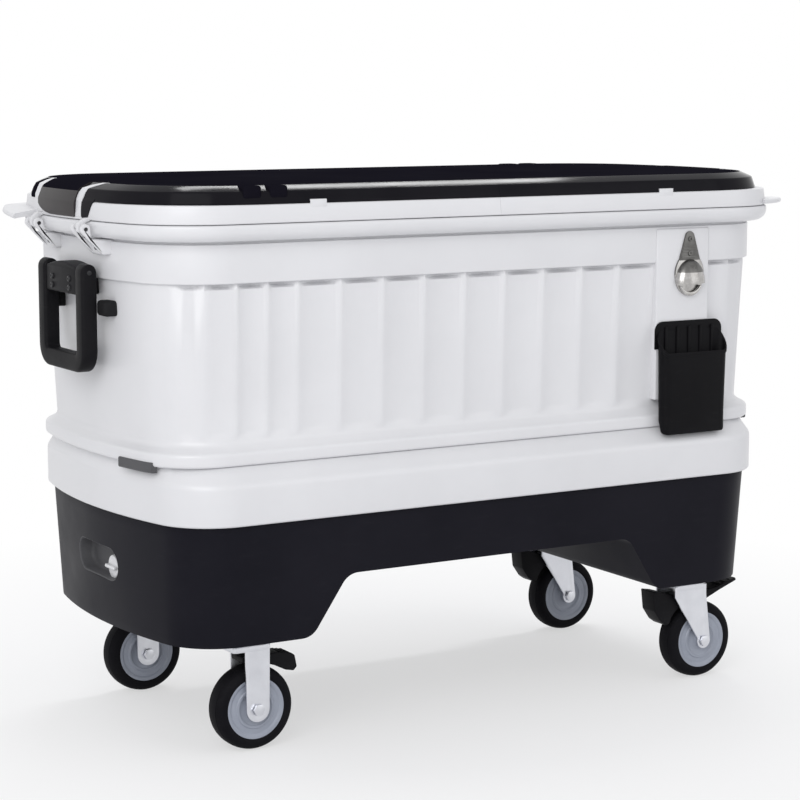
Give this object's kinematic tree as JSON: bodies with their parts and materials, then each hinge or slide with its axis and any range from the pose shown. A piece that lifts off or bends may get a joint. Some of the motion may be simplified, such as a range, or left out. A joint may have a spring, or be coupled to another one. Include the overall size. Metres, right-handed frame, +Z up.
{
  "type": "rolling cooler bar",
  "caption": "Insulated patio cooler bar with a fluted white tub, black wheeled base, end-hinged half lids, bail handles, bottle opener and cap bin.",
  "frame": {"origin": "on the floor, under the middle of the tub", "axes": "+X along the bar towards the end with the bottle opener, -Y to the front, +Z up"},
  "size_m": [1.3018, 0.5985, 0.88],
  "materials": {
    "white_plastic": "satin",
    "black_base": "satin",
    "black_gloss": "gloss",
    "black_plastic": "satin",
    "black_rubber": "matte",
    "tyre_rubber": "matte",
    "hub_grey": "satin",
    "zinc_steel": "satin",
    "black_screw": "satin",
    "polished_steel": "polished",
    "foam_core": "matte"
  },
  "bodies": {
    "chassis": {"base_moulding": "black_base", "leg_floors": "black_base", "belt_moulding": "white_plastic", "tub_shell": "white_plastic", "rim_gasket": "black_rubber", "tub_liner": "white_plastic", "insulation_foam": "foam_core", "drain_elbow": "white_plastic", "hinge_brackets": "white_plastic", "hinge_pins": "black_screw", "hinge_screws": "black_screw", "handle_mounts": "black_plastic", "handle_pins": "black_screw", "handle_bumpers": "black_rubber", "handle_screws": "black_screw", "tub_clips": "black_plastic", "opener_backplate": "white_plastic", "bottle_opener": "polished_steel", "opener_screws": "polished_steel", "caster_bolts": "zinc_steel", "front_left_caster_plate": "zinc_steel", "rear_left_caster_plate": "zinc_steel", "front_right_caster_plate": "zinc_steel", "rear_right_caster_plate": "zinc_steel"},
    "left_lid": {"left_lid_shell": "white_plastic", "left_lid_cover": "black_gloss", "left_lid_liner": "white_plastic", "left_lid_straps": "black_gloss"},
    "right_lid": {"right_lid_shell": "white_plastic", "right_lid_cover": "black_gloss", "right_lid_liner": "white_plastic", "right_lid_straps": "black_gloss"},
    "left_bail": {"left_handle_bail": "black_plastic"},
    "right_bail": {"right_handle_bail": "black_plastic"},
    "bin": {"cap_bin": "black_plastic"},
    "plug": {"drain_plug": "white_plastic"},
    "front_left_swivel": {"front_left_caster_fork": "zinc_steel", "front_left_wheel_axle": "zinc_steel"},
    "front_left_wheel": {"front_left_wheel_hub": "hub_grey", "front_left_wheel_tyre": "tyre_rubber"},
    "front_left_brake": {"front_left_brake_pedal": "black_plastic"},
    "rear_left_swivel": {"rear_left_caster_fork": "zinc_steel", "rear_left_wheel_axle": "zinc_steel"},
    "rear_left_wheel": {"rear_left_wheel_hub": "hub_grey", "rear_left_wheel_tyre": "tyre_rubber"},
    "rear_left_brake": {"rear_left_brake_pedal": "black_plastic"},
    "front_right_swivel": {"front_right_caster_fork": "zinc_steel", "front_right_wheel_axle": "zinc_steel"},
    "front_right_wheel": {"front_right_wheel_hub": "hub_grey", "front_right_wheel_tyre": "tyre_rubber"},
    "front_right_brake": {"front_right_brake_pedal": "black_plastic"},
    "rear_right_swivel": {"rear_right_caster_fork": "zinc_steel", "rear_right_wheel_axle": "zinc_steel"},
    "rear_right_wheel": {"rear_right_wheel_hub": "hub_grey", "rear_right_wheel_tyre": "tyre_rubber"},
    "rear_right_brake": {"rear_right_brake_pedal": "black_plastic"}
  },
  "joints": [
    {"name": "left_lid_hinge", "type": "hinge", "parent": "chassis", "child": "left_lid", "pos_m": [-0.625, 0, 0.812], "axis": [0, -1, 0], "range_deg": [0, 110]},
    {"name": "right_lid_hinge", "type": "hinge", "parent": "chassis", "child": "right_lid", "pos_m": [0.625, 0, 0.812], "axis": [0, 1, 0], "range_deg": [0, 110]},
    {"name": "left_bail_swing", "type": "hinge", "parent": "chassis", "child": "left_bail", "pos_m": [-0.61, 0, 0.744], "axis": [0, 1, 0], "range_deg": [0, 95]},
    {"name": "right_bail_swing", "type": "hinge", "parent": "chassis", "child": "right_bail", "pos_m": [0.61, 0, 0.744], "axis": [0, -1, 0], "range_deg": [0, 95]},
    {"name": "bin_lift", "type": "slide", "parent": "chassis", "child": "bin", "axis": [0, 0, 1], "range_m": [0, 0.025]},
    {"name": "plug_turn", "type": "hinge", "parent": "chassis", "child": "plug", "pos_m": [-0.55, -0.035, 0.274], "axis": [-1, 0, 0], "range_deg": [0, 90]},
    {"name": "front_left_swivel_turn", "type": "hinge", "parent": "chassis", "child": "front_left_swivel", "pos_m": [-0.414, -0.204, 0.17], "axis": [0, 0, 1], "continuous": true},
    {"name": "front_left_wheel_spin", "type": "hinge", "parent": "front_left_swivel", "child": "front_left_wheel", "pos_m": [-0.402, -0.204, 0.067], "axis": [0, 1, 0], "continuous": true},
    {"name": "front_left_brake_press", "type": "hinge", "parent": "front_left_swivel", "child": "front_left_brake", "pos_m": [-0.4, -0.204, 0.146], "axis": [0, 1, 0], "range_deg": [0, 7]},
    {"name": "rear_left_swivel_turn", "type": "hinge", "parent": "chassis", "child": "rear_left_swivel", "pos_m": [-0.414, 0.204, 0.17], "axis": [0, 0, 1], "continuous": true},
    {"name": "rear_left_wheel_spin", "type": "hinge", "parent": "rear_left_swivel", "child": "rear_left_wheel", "pos_m": [-0.402, 0.204, 0.067], "axis": [0, 1, 0], "continuous": true},
    {"name": "rear_left_brake_press", "type": "hinge", "parent": "rear_left_swivel", "child": "rear_left_brake", "pos_m": [-0.4, 0.204, 0.146], "axis": [0, 1, 0], "range_deg": [0, 7]},
    {"name": "front_right_swivel_turn", "type": "hinge", "parent": "chassis", "child": "front_right_swivel", "pos_m": [0.435, -0.204, 0.17], "axis": [0, 0, 1], "continuous": true},
    {"name": "front_right_wheel_spin", "type": "hinge", "parent": "front_right_swivel", "child": "front_right_wheel", "pos_m": [0.469, -0.204, 0.067], "axis": [0, 1, 0], "continuous": true},
    {"name": "front_right_brake_press", "type": "hinge", "parent": "front_right_swivel", "child": "front_right_brake", "pos_m": [0.449, -0.204, 0.146], "axis": [0, 1, 0], "range_deg": [0, 7]},
    {"name": "rear_right_swivel_turn", "type": "hinge", "parent": "chassis", "child": "rear_right_swivel", "pos_m": [0.435, 0.204, 0.17], "axis": [0, 0, 1], "continuous": true},
    {"name": "rear_right_wheel_spin", "type": "hinge", "parent": "rear_right_swivel", "child": "rear_right_wheel", "pos_m": [0.469, 0.204, 0.067], "axis": [0, 1, 0], "continuous": true},
    {"name": "rear_right_brake_press", "type": "hinge", "parent": "rear_right_swivel", "child": "rear_right_brake", "pos_m": [0.449, 0.204, 0.146], "axis": [0, 1, 0], "range_deg": [0, 7]}
  ]
}
